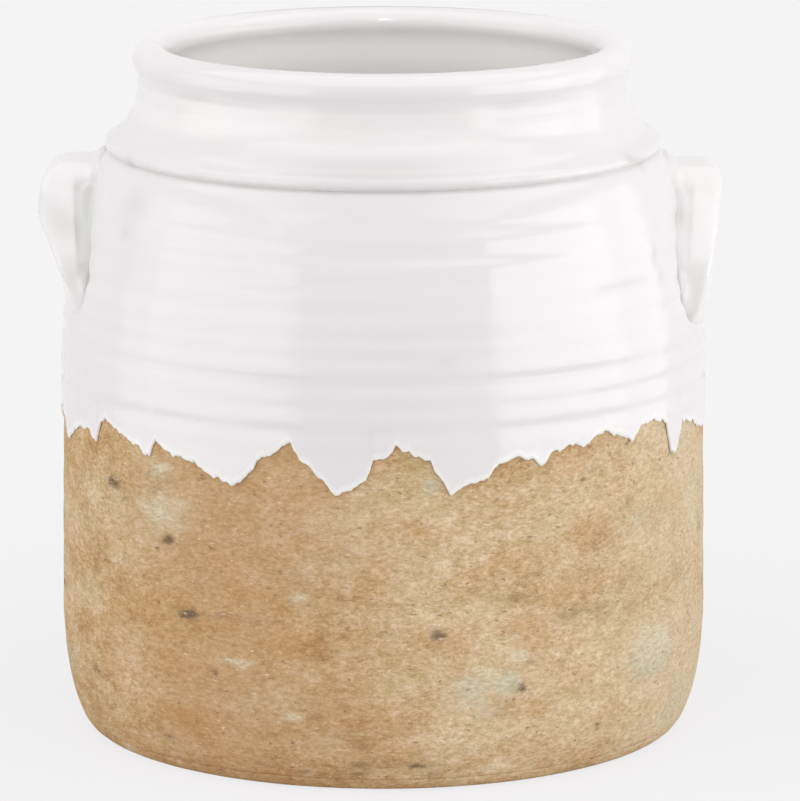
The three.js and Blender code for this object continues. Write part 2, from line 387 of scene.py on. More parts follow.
def thrownDepth(azimuth, z):
    depth = throwing["wobble"] * (1 + wave(azimuth, z, throwing["wobbleSize"], throwing["seed"]))
    turn = azimuth % 360
    for (height, _, width, tilt, towards), fades in zip(throwing["grooves"], grooveFades):
        if abs(z - height) > throwing["reach"] * width + tilt:
            continue
        offset = (z - height - tilt * math.cos(math.radians(azimuth - towards))) / width
        fade = mix(fades[int(turn)], fades[int(turn) + 1], turn % 1)
        depth += fade * math.exp(-offset * offset)
    return depth


# materials: each noise is its scale, detail, roughness and distortion

markKinds = ("dark", "pale", "rust", "green")  # in the order of the painted channels
castKinds = ("bleached", "toasted")

clay = {
    "flatten": 1.75,  # how far the clouds are squeezed in height
    "scratch": 2.3,  # the same for the grain
    "cloudNoise": (12.0, 9.0, 1.0),
    "spread": 0.044,  # of the cloud for one step of the tones
    "tones": [(-2.6, (178, 138, 94)), (-1.64, (200, 164, 119)), (-0.67, (216, 183, 139)),
              (0.0, (224, 194, 152)), (0.67, (231, 204, 168)), (1.64, (241, 216, 184)),
              (2.6, (249, 229, 202))],
    "straw": (218, 195, 146),
    "ember": (219, 170, 121),
    "hueNoise": (46.0, 4.0, 0.65),
    "hueTints": [("straw", 0.66, 0.4), ("ember", 0.34, 0.35)],  # full at this noise, largest share
    # the bleached cast's paler, greyer colour is partly a painted sheen where the softboxes graze the clay
    "bleached": (230, 213, 186),
    "toasted": (204, 161, 114),
    "driftNoise": (22.0, 3.0, 0.6),
    "drift": (1.6, 0.2),  # how the noise changes the casts: times, plus
    "dark": (134, 112, 86),
    "pale": (234, 222, 196),
    "rust": (204, 152, 100),
    "green": (214, 207, 181),
    "tornNoise": (190.0, 4.0, 0.75),
    "torn": (2.4, -1.2),  # how the noise tears the marks' outlines: times, plus
    "tornEdge": (0.2, 0.6),
    "tornShare": (0.7, 0.3),  # the part of a mark that is torn, and the part that isn't
    "markGain": 1.4,
    "marks": [("rust", 0.5), ("green", 0.8), ("pale", 0.72), ("dark", 0.95)],  # largest share
    "grainNoise": (400.0, 3.0, 0.75),
    "sunk": (0.62, 0.38),
    "grain": (0.80, 0.76, 0.68),  # how much the darkest grains take from each channel
    "fleck": (140, 102, 66),
    "chalk": (240, 222, 192),
    "tickNoise": (330.0, 3.0, 0.6, 0.4),
    "ticks": [("fleck", 0.36, 0.29, 0.7), ("chalk", 0.64, 0.71, 0.6)],  # start, full, largest share
    "relief": (1.4, 0.5),  # of the clouds and of the grain
    "bump": (0.55, 0.0006),  # strength, and distance in metres
    "gloss": 0.9,
    "specular": 0.25,
}


# casts round the pot, the bleached one partly a painted sheen, and the marks whose outlines the noise tears
def addClayMarks(tree, look, place, colour):
    drift = noiseAt(tree, place, *look["driftNoise"])
    for kind, painted in zip(castKinds, paintedChannels(tree, "casts")):
        area = calculate(tree, "MULTIPLY", painted, calculate(tree, "MULTIPLY_ADD", drift, *look["drift"]))
        colour = mixColour(tree, area, colour, linear(look[kind]))
    channels = paintedChannels(tree, "marks")
    torn = noiseAt(tree, place, *look["tornNoise"])
    for kind, most in look["marks"]:
        painted = channels[markKinds.index(kind)]
        raised = calculate(tree, "ADD", painted, calculate(tree, "MULTIPLY_ADD", torn, *look["torn"]))
        area = calculate(tree, "MULTIPLY_ADD", mapRange(tree, raised, *look["tornEdge"]), *look["tornShare"])
        area = calculate(tree, "MULTIPLY", area, painted)
        area = calculate(tree, "MINIMUM", calculate(tree, "MULTIPLY", area, look["markGain"]), most)
        colour = mixColour(tree, area, colour, linear(look[kind]))
    return colour


def clayMaterial(name, look, marked):
    material = newMaterial(name)
    tree = material.node_tree
    spot = addNode(tree, "TexCoord").outputs["Object"]
    flat = squeezed(tree, spot, look["flatten"])
    cloud = noiseAt(tree, flat, *look["cloudNoise"])
    stops = [(0.5 + look["spread"] * step, linear(tone)) for step, tone in look["tones"]]
    colour = ramp(tree, cloud, stops)
    hue = noiseAt(tree, flat, *look["hueNoise"])
    for tint, full, most in look["hueTints"]:
        colour = mixColour(tree, mapRange(tree, hue, 0.5, full, 0.0, most), colour, linear(look[tint]))
    if marked:
        colour = addClayMarks(tree, look, flat, colour)
    scratched = squeezed(tree, spot, look["scratch"])
    grain = noiseAt(tree, scratched, *look["grainNoise"])
    grained = mixColour(tree, 1.0, colour, look["grain"], "MULTIPLY")
    colour = mixColour(tree, mapRange(tree, grain, *look["sunk"]), colour, grained)
    ticks = noiseAt(tree, scratched, *look["tickNoise"])
    for tick, start, full, most in look["ticks"]:
        colour = mixColour(tree, mapRange(tree, ticks, start, full, 0.0, most), colour, linear(look[tick]))
    cloudRelief, grainRelief = look["relief"]
    height = calculate(tree, "ADD", calculate(tree, "MULTIPLY", cloud, cloudRelief),
                       calculate(tree, "MULTIPLY", grain, grainRelief))
    normal = bumped(tree, height, *look["bump"])
    shader = addNode(tree, "BsdfPrincipled", {"Base Color": colour, "Normal": normal,
                                              "Roughness": look["gloss"],
                                              "Specular IOR Level": look["specular"]})
    toOutput(tree, shader)
    return material


glaze = {
    "white": (239, 235, 237),
    "warm": (240, 236, 237),
    "cloudNoise": (26.0, 4.0, 0.6),
    "whiteToWarm": (0.38, 0.62),
    # pooled glaze, greyer, which also paints the shade in the groove, in the creases, under the rim and in
    # the ears' folds
    "poolAndShade": (212, 212, 209),
    "thin": (204, 198, 188),
    "thinNoise": (260.0, 3.0, 0.6),
    "thinBreaks": (0.35, 0.62),
    # whiter glaze, also used for the painted highlight on the neck
    "thick": (250, 249, 247),
    "edgeDirt": (150, 146, 128),
    "dirtNoise": (120.0, 2.0, 0.5),
    "dirtSpecks": (0.6, 0.68),
    "dirtMost": 0.8,
    "glossClouds": (0.3, 0.7),
    "gloss": (0.1, 0.2),
    "swellNoise": (70.0, 2.0, 0.5),
    "peelNoise": (500.0, 2.0, 0.5),
    "peel": 0.06,
    "bump": (0.35, 0.0008),
    "ior": 1.6,
}


# its painted channels are pooled glaze with painted shade, thin glaze, thick glaze with a painted highlight,
# and the dirt along the edge
def glazeMaterial(name, look):
    material = newMaterial(name)
    tree = material.node_tree
    spot = addNode(tree, "TexCoord").outputs["Object"]
    cloud = noiseAt(tree, spot, *look["cloudNoise"])
    whiteEnd, warmStart = look["whiteToWarm"]
    colour = ramp(tree, cloud, [(whiteEnd, linear(look["white"])), (warmStart, linear(look["warm"]))])
    pooledAndShaded, thin, thick, edge = paintedChannels(tree, "tones")
    colour = mixColour(tree, pooledAndShaded, colour, linear(look["poolAndShade"]))
    breaks = mapRange(tree, noiseAt(tree, spot, *look["thinNoise"]), *look["thinBreaks"])
    colour = mixColour(tree, calculate(tree, "MULTIPLY", thin, breaks), colour, linear(look["thin"]))
    colour = mixColour(tree, thick, colour, linear(look["thick"]))
    specks = mapRange(tree, noiseAt(tree, spot, *look["dirtNoise"]), *look["dirtSpecks"])
    dirt = calculate(tree, "MULTIPLY", calculate(tree, "MULTIPLY", specks, edge), look["dirtMost"])
    colour = mixColour(tree, dirt, colour, linear(look["edgeDirt"]))
    rough = mapRange(tree, cloud, *look["glossClouds"], *look["gloss"])
    swell = noiseAt(tree, spot, *look["swellNoise"])
    peel = calculate(tree, "MULTIPLY", noiseAt(tree, spot, *look["peelNoise"]), look["peel"])
    normal = bumped(tree, calculate(tree, "ADD", swell, peel), *look["bump"])
    shader = addNode(tree, "BsdfPrincipled", {"Base Color": colour, "Normal": normal,
                                              "Roughness": rough, "IOR": look["ior"]})
    toOutput(tree, shader)
    return material


bareClay = clayMaterial("bareClay", clay, True)
innerClay = clayMaterial("innerClay", clay, False)
whiteGlaze = glazeMaterial("whiteGlaze", glaze)
print("materials made")


# bare clay: the slab that the pot stands on and the thrown wall over it

slab = {
    "seamHeight": 4.75,
    "seamRound": 0.2,
    "recessDepth": 1.5,
    "recessSlope": 2,
    "footWidth": 14,
    "footMiddle": 98,
    "edgeRound": 0.8,
    "sideRows": (0.7, 1.6, 2.6, 3.6, 4.4),
    "side": (102, 4.6),  # the side's points are further out than this, and lower
    "stepIn": 0.06,
    "unevenSize": 14,
    "seed": 21,
    "floorRadius": 101,
    "floorMiddle": 60,
    "floorHeight": 9.4,
}

wallBuild = {
    "foot": 4.8,
    "footReach": 101.6,
    "footRound": 0.12,
    "firstRow": 0.5,  # above the foot
    "rowHeight": 1.6,
    "bareTop": 127,  # over it the glaze covers the wall, and fewer rows do
    "coveredRows": (132, 145, 160, 175, 188, 198, 204.4),
    "insideRows": (205, 195, 180, 160, 140, 110, 75, 45, 30, 20, 13, 9.6),
    "insideStep": 0.5,
    "skin": 1,  # points nearer than this to the outside line are on the outside
    "thrownTop": 204,
}


def makeSlab():
    recess = pot["footRadius"] - slab["footWidth"]
    sideRadius, sideTop = slab["side"]
    rows = pointsAt(clayLine, slab["sideRows"])
    profile = [(0, slab["recessDepth"]), (recess - slab["recessSlope"], slab["recessDepth"]),
               (recess, 0), (slab["footMiddle"], 0), (pot["footRadius"] - slab["edgeRound"], 0)]
    profile += rows + [(rows[-1][0] - slab["seamRound"], slab["seamHeight"])]
    profile += [(slab["floorRadius"], slab["seamHeight"])]
    profile += [(r, slab["floorHeight"]) for r in (slab["floorRadius"], slab["floorMiddle"], 0)]
    bm = spun(profile, pot["turns"])
    for vert in bm.verts:
        azimuth, r, z = polar(vert)
        if r > sideRadius and z < sideTop:
            uneven = 1 + wave(azimuth, z, slab["unevenSize"], slab["seed"])
            moveTo(vert, azimuth, r - slab["stepIn"] * uneven, z)
    paintMarks(bm)
    return addPiece("baseSlab", bm, bareClay, ["base_slab"])


def makeWall():
    rows = []
    z = wallBuild["foot"] + wallBuild["firstRow"]
    while z < wallBuild["bareTop"]:
        rows.append((radiusAt(clayLine, z), z))
        z += wallBuild["rowHeight"]
    rows += pointsAt(clayLine, wallBuild["coveredRows"])
    inner = pointsAt(shifted(clayLine, -pot["wall"]), wallBuild["insideRows"])
    innerRadius, innerHeight = inner[-1]
    profile = [(wallBuild["footReach"], wallBuild["foot"]),
               (radiusAt(clayLine, wallBuild["foot"]) - wallBuild["footRound"], wallBuild["foot"])]
    profile += rows + inner + [(innerRadius - wallBuild["insideStep"], innerHeight)]
    bm = spun(profile, pot["turns"])
    for vert in bm.verts:
        azimuth, r, z = polar(vert)
        if z < wallBuild["thrownTop"] and r > clayRadius(z) - wallBuild["skin"]:
            moveTo(vert, azimuth, r - thrownDepth(azimuth, z), z)
    paintMarks(bm)
    return addPiece("bodyWall", bm, bareClay, ["body_wall"])


# marks in the clay that the front shows: azimuth, height, half width, half height, strength
clayMarks = {
    "dark": [
        (-7, 7.5, 9, 0.9, 0.4), (2, 12.5, 12, 0.9, 0.35), (-20, 9, 8, 0.9, 0.35),
        (15, 14.5, 9, 1, 0.3), (30, 8, 8, 0.9, 0.3), (-30, 40, 1.4, 1.2, 0.6),
        (-13.2, 92.5, 10, 0.9, 0.35), (-6, 22, 12, 1, 0.3), (34, 58, 8, 0.9, 0.35),
        (-55.2, 99.7, 4.9, 2.1, 0.9), (-43.7, 100.4, 1.9, 1.4, 0.7), (-40.3, 83.9, 2.8, 1.8, 0.9),
        (-35.7, 59.2, 3.9, 2.1, 1), (-26.8, 60.1, 13.4, 1.1, 0.45), (-61.9, 29.3, 3.7, 1.4, 0.7),
        (-42.1, 12.4, 3.6, 1.2, 0.75), (-4.4, 11.1, 5, 1.1, 0.8), (-15.6, 6.3, 4, 1.1, 0.65),
        (6.8, 10.2, 6, 1.1, 0.9), (8, 6.5, 3.5, 1, 0.55), (-3.5, 7.2, 4, 1, 0.5),
        (-3.5, 17.5, 3.2, 2.1, 0.45),
        (0.1, 57.5, 2.5, 1.4, 0.5), (9.2, 57.1, 3.2, 2.1, 0.75), (23.7, 67.7, 6.5, 1.4, 0.5),
        (35.4, 60.6, 14.6, 1.4, 0.45), (24.4, 35.4, 2, 2.2, 0.8), (41.3, 17.9, 2.3, 1.4, 0.7),
        (39.2, 109.8, 1.4, 0.7, 0.8), (37.4, 105.7, 1.3, 0.7, 0.7), (47.5, 115, 1.6, 1.1, 0.7),
        (-52.1, 95.5, 4.6, 1.4, 0.4), (56.4, 103.3, 2.5, 1.1, 0.5), (16.5, 96.5, 2.2, 1.1, 0.35),
        (-9.1, 83.4, 1.8, 1.1, 0.35), (-23.3, 81.5, 2.3, 1.1, 0.3), (4.5, 34.4, 1.8, 1.1, 0.35),
        (32.1, 44, 2.5, 1.1, 0.35),
    ],
    "pale": [
        (17, 35, 15, 8, 0.4), (56, 42, 15, 9, 0.45), (-42, 97, 15, 9, 0.35),
        (-13, 79, 13, 7, 0.3), (-64, 90, 16, 13, 0.25), (-20, 32, 22, 7, 0.3),
        (-41.7, 109.5, 5.2, 1.8, 0.7), (-42.1, 92.9, 4.3, 2.1, 0.3), (-40.4, 91.5, 12, 6.5, 0.3),
        (-25.5, 45, 7.8, 1.4, 0.8), (-15, 69.2, 4, 2.5, 0.6), (-16.1, 26.9, 4, 1.1, 0.6),
        (23.9, 47.6, 2.6, 1.5, 2.2), (20.8, 41, 7.1, 4, 0.35), (13.2, 38.6, 5.4, 3.2, 0.45),
        (21.8, 54, 4.9, 2.1, 0.5), (57.1, 66.7, 5.8, 1.1, 0.6), (54.6, 42, 10, 5.6, 0.7),
        (-5.8, 50.1, 7.1, 2.8, 0.3), (40.3, 77.1, 12, 3.5, 0.3), (31.6, 93.6, 10.7, 4.2, 0.3),
        (-25.1, 102.1, 6.2, 2.8, 0.3), (-52.6, 72.9, 6.9, 2.8, 0.25),
    ],
    "rust": [
        (-37.2, 21.9, 9.7, 4.9, 0.7), (-19.9, 53.8, 14.9, 7, 0.35), (-25.2, 81.1, 17.8, 7.7, 0.35),
        (-9.2, 34.1, 16.4, 6.3, 0.3), (-0.6, 83.7, 14, 7, 0.3), (-53.6, 43.8, 11.8, 6.3, 0.25),
    ],
    "green": [
        (7.8, 108.4, 3.9, 3.9, 0.7), (21.6, 38.4, 4.4, 4.2, 1.3), (14.8, 37.4, 5.4, 5, 0.9),
        (54.6, 37, 14, 8.5, 0.95), (-42, 93.5, 9, 6.5, 0.55), (-42.5, 108, 8, 4.5, 0.5),
        (-55, 92, 12, 8, 0.3), (18, 29, 10, 4, 0.4),
        (-80.5, 110.9, 3.5, 6.3, 0.8), (50.4, 87.8, 13.2, 5.6, 0.4), (42.7, 62.1, 10.5, 4.9, 0.3),
        (66.5, 16.1, 14.1, 7, 0.5), (-63.4, 57.7, 7.8, 5.6, 0.3),
    ],
}

# slow drifts of colour round the pot: the bleached cast, paler and greyer at the right side and at the back,
# is partly the clay's own colour and partly a painted sheen where the softboxes graze it; the toasted cast
# is warmer: azimuth, half width, strength
clayCasts = {
    "bleached": [(72, 26, 0.7), (165, 40, 0.35)],
    "toasted": [(-28, 22, 0.6), (-140, 40, 0.4)],
}

# the sides and the back get the same kinds of marks, strewn
strewn = {
    "seed": 12,
    "around": (75, 285),
    "heights": (6, 116),
    "sizes": (0.6, 1.5),
    "stretches": (0.7, 1.8),
    "strengths": (0.6, 1.4),
    "dark": (34, 3.2, 1.7, 0.6),  # how many, usual half width, half height and strength
    "pale": (24, 7.5, 3.6, 0.5),
    "rust": (10, 15, 7, 0.35),
    "green": (12, 11, 7, 0.45),
}
dice = random.Random(strewn["seed"])
for kind in markKinds:
    count, wide, tall, strength = strewn[kind]
    for i in range(count):
        azimuth = turnFrom(0, dice.uniform(*strewn["around"]))
        size = dice.uniform(*strewn["sizes"])
        height = dice.uniform(*strewn["heights"])
        stretch = dice.uniform(*strewn["stretches"])
        power = strength * dice.uniform(*strewn["strengths"])
        clayMarks[kind].append((azimuth, height, wide * size * stretch, tall * size, power))

marking = {
    "innermost": 100,  # the clay is painted outside this radius
    "highest": 128,
    "band": 4,
    "mmPerDegree": 2,
    "unevenSize": 4.5,  # of the noise that makes the outlines of the marks uneven
    "unevenTurn": 0.9,
    "unevenHeight": 1.3,
    "unevenPlace": (31, 7, 3),
}

markBands = {}  # the marks that reach each band of heights
for kind in markKinds:
    for mark in clayMarks[kind]:
        reach = helper["reach"] * mark[3]
        lowest, highest = ((mark[1] + way * reach) // marking["band"] for way in (-1, 1))
        for band in range(int(lowest), int(highest) + 1):
            markBands.setdefault((kind, band), []).append(mark)


def markShare(kind, azimuth, z):
    share = 0.0
    for at, height, wide, tall, strength in markBands.get((kind, int(z // marking["band"])), ()):
        across = turnFrom(at, azimuth) * marking["mmPerDegree"] / wide
        up = (z - height) / tall
        if abs(across) < helper["reach"] and abs(up) < helper["reach"]:
            share += strength * math.exp(-across * across - up * up)
    return share


def castShare(kind, azimuth):
    return sum(strength * math.exp(-(turnFrom(at, azimuth) / wide) ** 2)
               for at, wide, strength in clayCasts[kind])


def paintMarks(bm):
    markLayer = bm.verts.layers.float_color.new("marks")
    castLayer = bm.verts.layers.float_color.new("casts")
    for vert in bm.verts:
        azimuth, r, z = polar(vert)
        if r <= marking["innermost"] or z >= marking["highest"]:
            vert[markLayer] = vert[castLayer] = (0.0, 0.0, 0.0, 0.0)
            continue
        place = vert.co / marking["unevenSize"]
        azimuth += marking["unevenTurn"] * noise.noise(place)
        z += marking["unevenHeight"] * noise.noise(place + Vector(marking["unevenPlace"]))
        vert[markLayer] = [markShare(kind, azimuth, z) for kind in markKinds]
        vert[castLayer] = [castShare(kind, azimuth) for kind in castKinds] + [0.0, 0.0]


makeSlab()
makeWall()


# white coat: from the ragged edge over the shoulder, the groove, the collar and the rim's crest

coat = {
    "thickness": 0.9,
    "bond": 0.1,  # gap between a glaze and its clay
    "lowRow": 104,  # the spun coat's lowest row, before it is stretched to the ragged edge
    "fixedRow": 142,  # rows above this are not stretched
    "lipRows": [(0, -0.72), (0.18, -0.3), (0.5, -0.02), (1, 0.08), (1.8, 0.08), (3, 0.03), (4.6, 0)],
    "lipCuts": 2,  # finer steps round the pot there, for the small teeth
    "lipTop": 5,
    "firstRow": 7,  # above the lowest
    "stretchedRow": 2.6,
    "rowHeight": 1.8,
    "shoulderTop": 203.8,
    "groove": [(98.9, 205.2), (98, 206), (97.3, 206.6), (97, 206.9), (97.4, 207.2), (98, 207.6),
               (98.35, 208.2), (98.5, 209.2), (98.2, 210.3), (97.3, 211), (96.3, 211.6), (95.3, 212.2)],
    "neckRows": (213.4, 233.5, 1.6),  # first, highest, step
    "rollRadius": 6.15,
    "rollTurns": (-30, 116, 8),
    "crestThins": (90, 115, 0.3),  # from and to these degrees, by this much
    "backTurns": (112, 90, 60, 30, 0, -25),
    "backNeck": (232, 222, 213, 210),
    "backGroove": [(95.6, 208), (95.6, 207), (97.4, 205.2)],
    "backShoulder": (198, 185, 170, 155),
    "ringsFade": (104, 114),  # the throwing grooves set in between these heights
    "ringsTop": 234,
    "ringsSkin": 0.5,  # points further out than this from the clay are on the face
    # greyer smears, partly glaze pooled in dips and partly painted shade in the creases by the ears, under
    # the rim's roll and on the rim's far crest: azimuth, height, half width, half height, strength
    "smearsAndShade": [
        (60.4, 210.2, 1.6, 1.6, 0.8), (63, 209.2, 1.8, 1, 0.6), (66, 206.5, 1.5, 2, 0.5),
        (59.4, 178.6, 0.9, 2.6, 0.9), (58.4, 175.2, 0.8, 2, 0.5), (59.8, 170.5, 1.2, 4, 0.45),
        (43.1, 170.2, 2.4, 1, 0.6), (47.5, 171, 3.4, 1.3, 0.5), (52.5, 170.6, 3, 1, 0.35),
        (-56.8, 185.4, 1.6, 2, 0.4), (-56.1, 195.8, 4, 5, 0.3), (-63.5, 208.6, 2.4, 1.6, 0.6),
        (-50, 176, 5, 8, 0.22), (10.4, 150.7, 3, 2, 0.3), (-18.6, 143, 5, 2.2, 0.3),
        (-40, 209.6, 4, 0.8, 0.4), (30, 209.6, 3, 0.8, 0.4), (-176, 245, 38, 3.8, 1),
        (-48, 232.8, 7, 1.2, 0.6), (-35, 232.8, 9, 1.2, 0.5), (29, 232.6, 4, 1.2, 0.5),
        (41, 232.6, 9, 1.2, 0.5),
    ],
}

# where the glaze is thick, thin, pooled or dirty, and where shade and a highlight are painted on it
coatTones = {
    "thickLip": (0.6, 3),  # above the edge: all the way, none
    "dirtLip": (0.2, 1.6),
    "dirtGaps": (-0.2, 0.5),
    "dirtSize": 16,
    "dirtSeed": 31,
    "groove": (205.8, 206.8, 208.1, 208.6),
    # painted shade in the groove under the lip
    "grooveShade": 0.25,
    "grooveThin": 0.12,
    # painted highlight: a brighter, whiter band round the neck
    "neck": (218, 222, 231, 233),
    "neckHighlight": 0.6,
    "neckHighlightLess": (0.5, (8, 32, 100, 150)),  # how much less of the painted highlight, and between which azimuths
    "frontAt": -3,
    "frontWidth": 24,
    # painted shade, greyer at the front, on the lip over the groove and under it: strength, heights
    "frontShades": [(0.55, (208.6, 211, 215, 219)), (0.4, (196, 203, 206, 207.5))],
}


def coatFace():
    face = shifted(clayLine, coat["thickness"] + coat["bond"])
    low = coat["lowRow"]
    rows = [(radiusAt(face, low) + out, low + up) for up, out in coat["lipRows"]]
    z = low + coat["firstRow"]
    while z < coat["shoulderTop"]:
        rows.append((radiusAt(face, z), z))
        z += coat["rowHeight"] if z > coat["fixedRow"] else coat["stretchedRow"]
    rows += coat["groove"]
    z, highest, step = coat["neckRows"]
    while z < highest:
        rows.append((radiusAt(face, z), z))
        z += step
    start, end, thinner = coat["crestThins"]
    for degrees in range(*coat["rollTurns"]):
        rows += onRoll(coat["rollRadius"] - thinner * smoothStep(start, end, degrees), [degrees])
    return rows


def coatBack():
    back = shifted(clayLine, coat["bond"])
    rows = onRoll(pot["rollRadius"], coat["backTurns"]) + pointsAt(back, coat["backNeck"])
    rows += coat["backGroove"]
    return rows + pointsAt(back, coat["backShoulder"] + (coat["fixedRow"], coat["lowRow"]))


# the level edges of the coat's lip, which run round the pot
def lipEdges(bm):
    found = []
    for edge in bm.edges:
        first, second = (vert.co for vert in edge.verts)
        level = abs(first.z - second.z) < helper["samePoint"]
        circular = abs(first.xy.length - second.xy.length) < helper["samePoint"]
        if level and circular and first.z < coat["lowRow"] + coat["lipTop"]:
            found.append(edge)
    return found


def smearAndShadeShare(azimuth, z):
    share = 0.0
    for at, height, wide, tall, strength in coat["smearsAndShade"]:
        up = (z - height) / tall
        if abs(up) < helper["reach"]:
            across = turnFrom(at, azimuth) / wide
            if abs(across) < helper["reach"]:
                share += strength * math.exp(-across * across - up * up)
    return share


def makeCoat():
    bm = spun(coatFace() + coatBack(), pot["turns"])
    bmesh.ops.subdivide_edges(bm, edges=lipEdges(bm), cuts=coat["lipCuts"], use_grid_fill=True)
    layer = bm.verts.layers.float_color.new("tones")
    faceRadius = quickRadius(shifted(clayLine, coat["thickness"] + coat["bond"]))
    low, fixed = coat["lowRow"], coat["fixedRow"]
    lipTop = coat["lipRows"][-1][0]
    neckHighlightLess, neckTurns = coatTones["neckHighlightLess"]
    for vert in bm.verts:
        azimuth, r, z = polar(vert)
        pooledAndShaded, thin, thick, dirty = 0.0, 0.0, 0.0, 0.0
        if z < fixed - helper["samePoint"]:
            # the rows are moved to the ragged edge, and those above them are stretched
            above = z - low
            stand = r - faceRadius(z)
            edge = edgeHeight(azimuth)
            if above <= lipTop:
                z = edge + above
            else:
                z = mix(edge + lipTop, fixed, (above - lipTop) / (fixed - low - lipTop))
            r = faceRadius(z) + stand
            thick = 1 - smoothStep(*coatTones["thickLip"], above)
            patches = wave(azimuth, 0, coatTones["dirtSize"], coatTones["dirtSeed"])
            dirty = smoothStep(*coatTones["dirtGaps"], patches)
            dirty *= 1 - smoothStep(*coatTones["dirtLip"], above)
        if r > clayRadius(z) + coat["ringsSkin"] and z < coat["ringsTop"]:
            r -= thrownDepth(azimuth, z) * smoothStep(*coat["ringsFade"], z)
        inGroove = between(coatTones["groove"], z)
        # painted shade here: the smears, the groove and the front bands are greyed
        pooledAndShaded += smearAndShadeShare(azimuth, z) + coatTones["grooveShade"] * inGroove
        thin += coatTones["grooveThin"] * inGroove
        # painted highlight on the neck, less on its right side
        neckLit = coatTones["neckHighlight"] - neckHighlightLess * between(neckTurns, azimuth)
        thick += neckLit * between(coatTones["neck"], z)
        front = math.exp(-((azimuth - coatTones["frontAt"]) / coatTones["frontWidth"]) ** 2)
        for strength, heights in coatTones["frontShades"]:
            pooledAndShaded += strength * front * between(heights, z)
        vert[layer] = (min(pooledAndShaded, 1.0), thin, thick, dirty)
        moveTo(vert, azimuth, r, z)
    return addPiece("outerGlaze", bm, whiteGlaze, ["outer_glaze"])


makeCoat()


# liner: poured inside, from under the coat at the crest down to the floor

liner = {
    "face": 0.9,  # from the wall's inside line
    "rollRadius": 6.05,
    "rollTurns": (84, 211, 9),
    "rows": (232, 228, 224, 220, 216, 212, 208, 204, 198, 190, 180, 165, 150, 125, 100, 70, 45, 30, 20),
    "corner": [(99.5, 13.5), (96, 11), (90, 10.4)],
    "floorHeight": 10.4,
    "floorMiddle": 60,
    "backFloor": 9.6,
    "backCorner": 97,
    "backRows": (20, 45, 100, 150, 180, 204, 216, 232),
    "backTurns": (205, 180, 150, 120, 95, 86),
    "thickBelow": (237, 243.5),  # poured thicker than the coat
    "turns": 360,
}


def makeLiner():
    face = onRoll(liner["rollRadius"], range(*liner["rollTurns"]))
    face += pointsAt(shifted(clayLine, -pot["wall"] - liner["face"]), liner["rows"]) + liner["corner"]
    face += [(r, liner["floorHeight"]) for r in (liner["floorMiddle"], 0.0)]
    back = [(r, liner["backFloor"]) for r in (0.0, liner["floorMiddle"], liner["backCorner"])]
    back += pointsAt(shifted(clayLine, -pot["wall"] - coat["bond"]), liner["backRows"])
    back += onRoll(pot["rollRadius"], liner["backTurns"])
    bm = spun(face + back, liner["turns"])
    layer = bm.verts.layers.float_color.new("tones")
    for vert in bm.verts:
        vert[layer] = (0.0, 0.0, 1 - smoothStep(*liner["thickBelow"], vert.co.z), 0.0)
    return addPiece("linerGlaze", bm, whiteGlaze, ["liner_glaze"])


makeLiner()


# ears: a thick flap, arched from its wide foot to its folded top, with a narrow fold along the wall

ears = {
    "right": {
        "top": 203.2, "bottom": 148.5, "tail": 115, "bulge": (117, 170.7), "reach": 119.8,
        "knuckleHeight": 194.7, "knuckleRound": 8.8, "foldDepth": 1.4, "lumps": 5,
        "pooledAndShaded": 0.4, "thickness": 0.5,
        # painted shade, greyer glaze: x, y, z, size, strength
        "shadeSmudges": [(103.8, -30, 195.8, 4.2, 1), (113.6, -24, 197.4, 4, 0.9),
                    (109.6, -28, 194, 3.6, 0.7), (105.5, -24, 203, 6.5, 0.8),
                    (104, -30, 188, 5, 0.5), (109.5, -38, 156.5, 3.2, 0.35),
                    (107, -38, 153, 3, 0.5)],
    },
    "left": {
        "top": 204.8, "bottom": 151.5, "tail": 113.6, "bulge": (113, 167.5), "reach": 122.2,
        "knuckleHeight": 185.8, "knuckleRound": 13.5, "foldDepth": 2, "lumps": 9,
        "pooledAndShaded": 0.75, "thickness": 0.4,
        # on the left ear the front is at +y, before it is turned to its side
        "shadeSmudges": [(103, 24, 203, 7, 0.6), (114.5, 30, 191, 7, 0.55),
                    (111.5, 34, 184, 7, 0.5), (114, 26, 197.5, 5, 0.4),
                    (118.5, 20, 190, 6, 0.35), (114.5, 36, 162, 3.5, 0.3)],
    },
    "flapSteps": (16, 10),
    "flapTop": 7.4,
    "foldSetBack": 4.6,
    "foldRound": 6,
    "foldSteps": 6,
    "foot": 42,
    "footRise": 17,
    "shoulder": 18,
    "shoulderDrop": 11,
    "archSteps": (10, 12, 8),
    "archStart": 78,
    "archLength": 60,
    "root": 88,
    "sunk": 3,  # how far the ear is set into the wall
    "coreRows": (120, 230, 4),
    "coreTop": 228,
    "coreTurns": 120,
    "bendRadius": 320,
    "bendCuts": 31,
    "tailLength": 20,
    "voxel": 0.8,
    "softening": 18,
    "lumpDepth": 0.45,
    "lumpSize": 11,
    "lumpStep": 50,  # from one ear's lumps to the other's, in the noise
    "fillet": 2.4,
    "filletHeight": 4,
    "shadeEdge": (-0.6, 0.6),  # painted shade in the fold: how far behind the flap
    "shadeEnds": (12, 18),  # and how far from the middle
    "wallShade": (0.3, 3),  # painted shade along the wall: strength, height
}


# the outside of the ear as a rising line of (reach, z)
def earLine(ear):
    top, knuckle = ear["top"], (ear["reach"], ear["knuckleHeight"])
    tailSteps, topSteps = ears["flapSteps"]
    line = quadratic((ear["tail"], ear["bottom"]), ear["bulge"], knuckle, tailSteps)
    topEnd = (ear["reach"] - ear["knuckleRound"], top)
    return line + quadratic(knuckle, (ear["reach"], top), topEnd, topSteps)[1:]


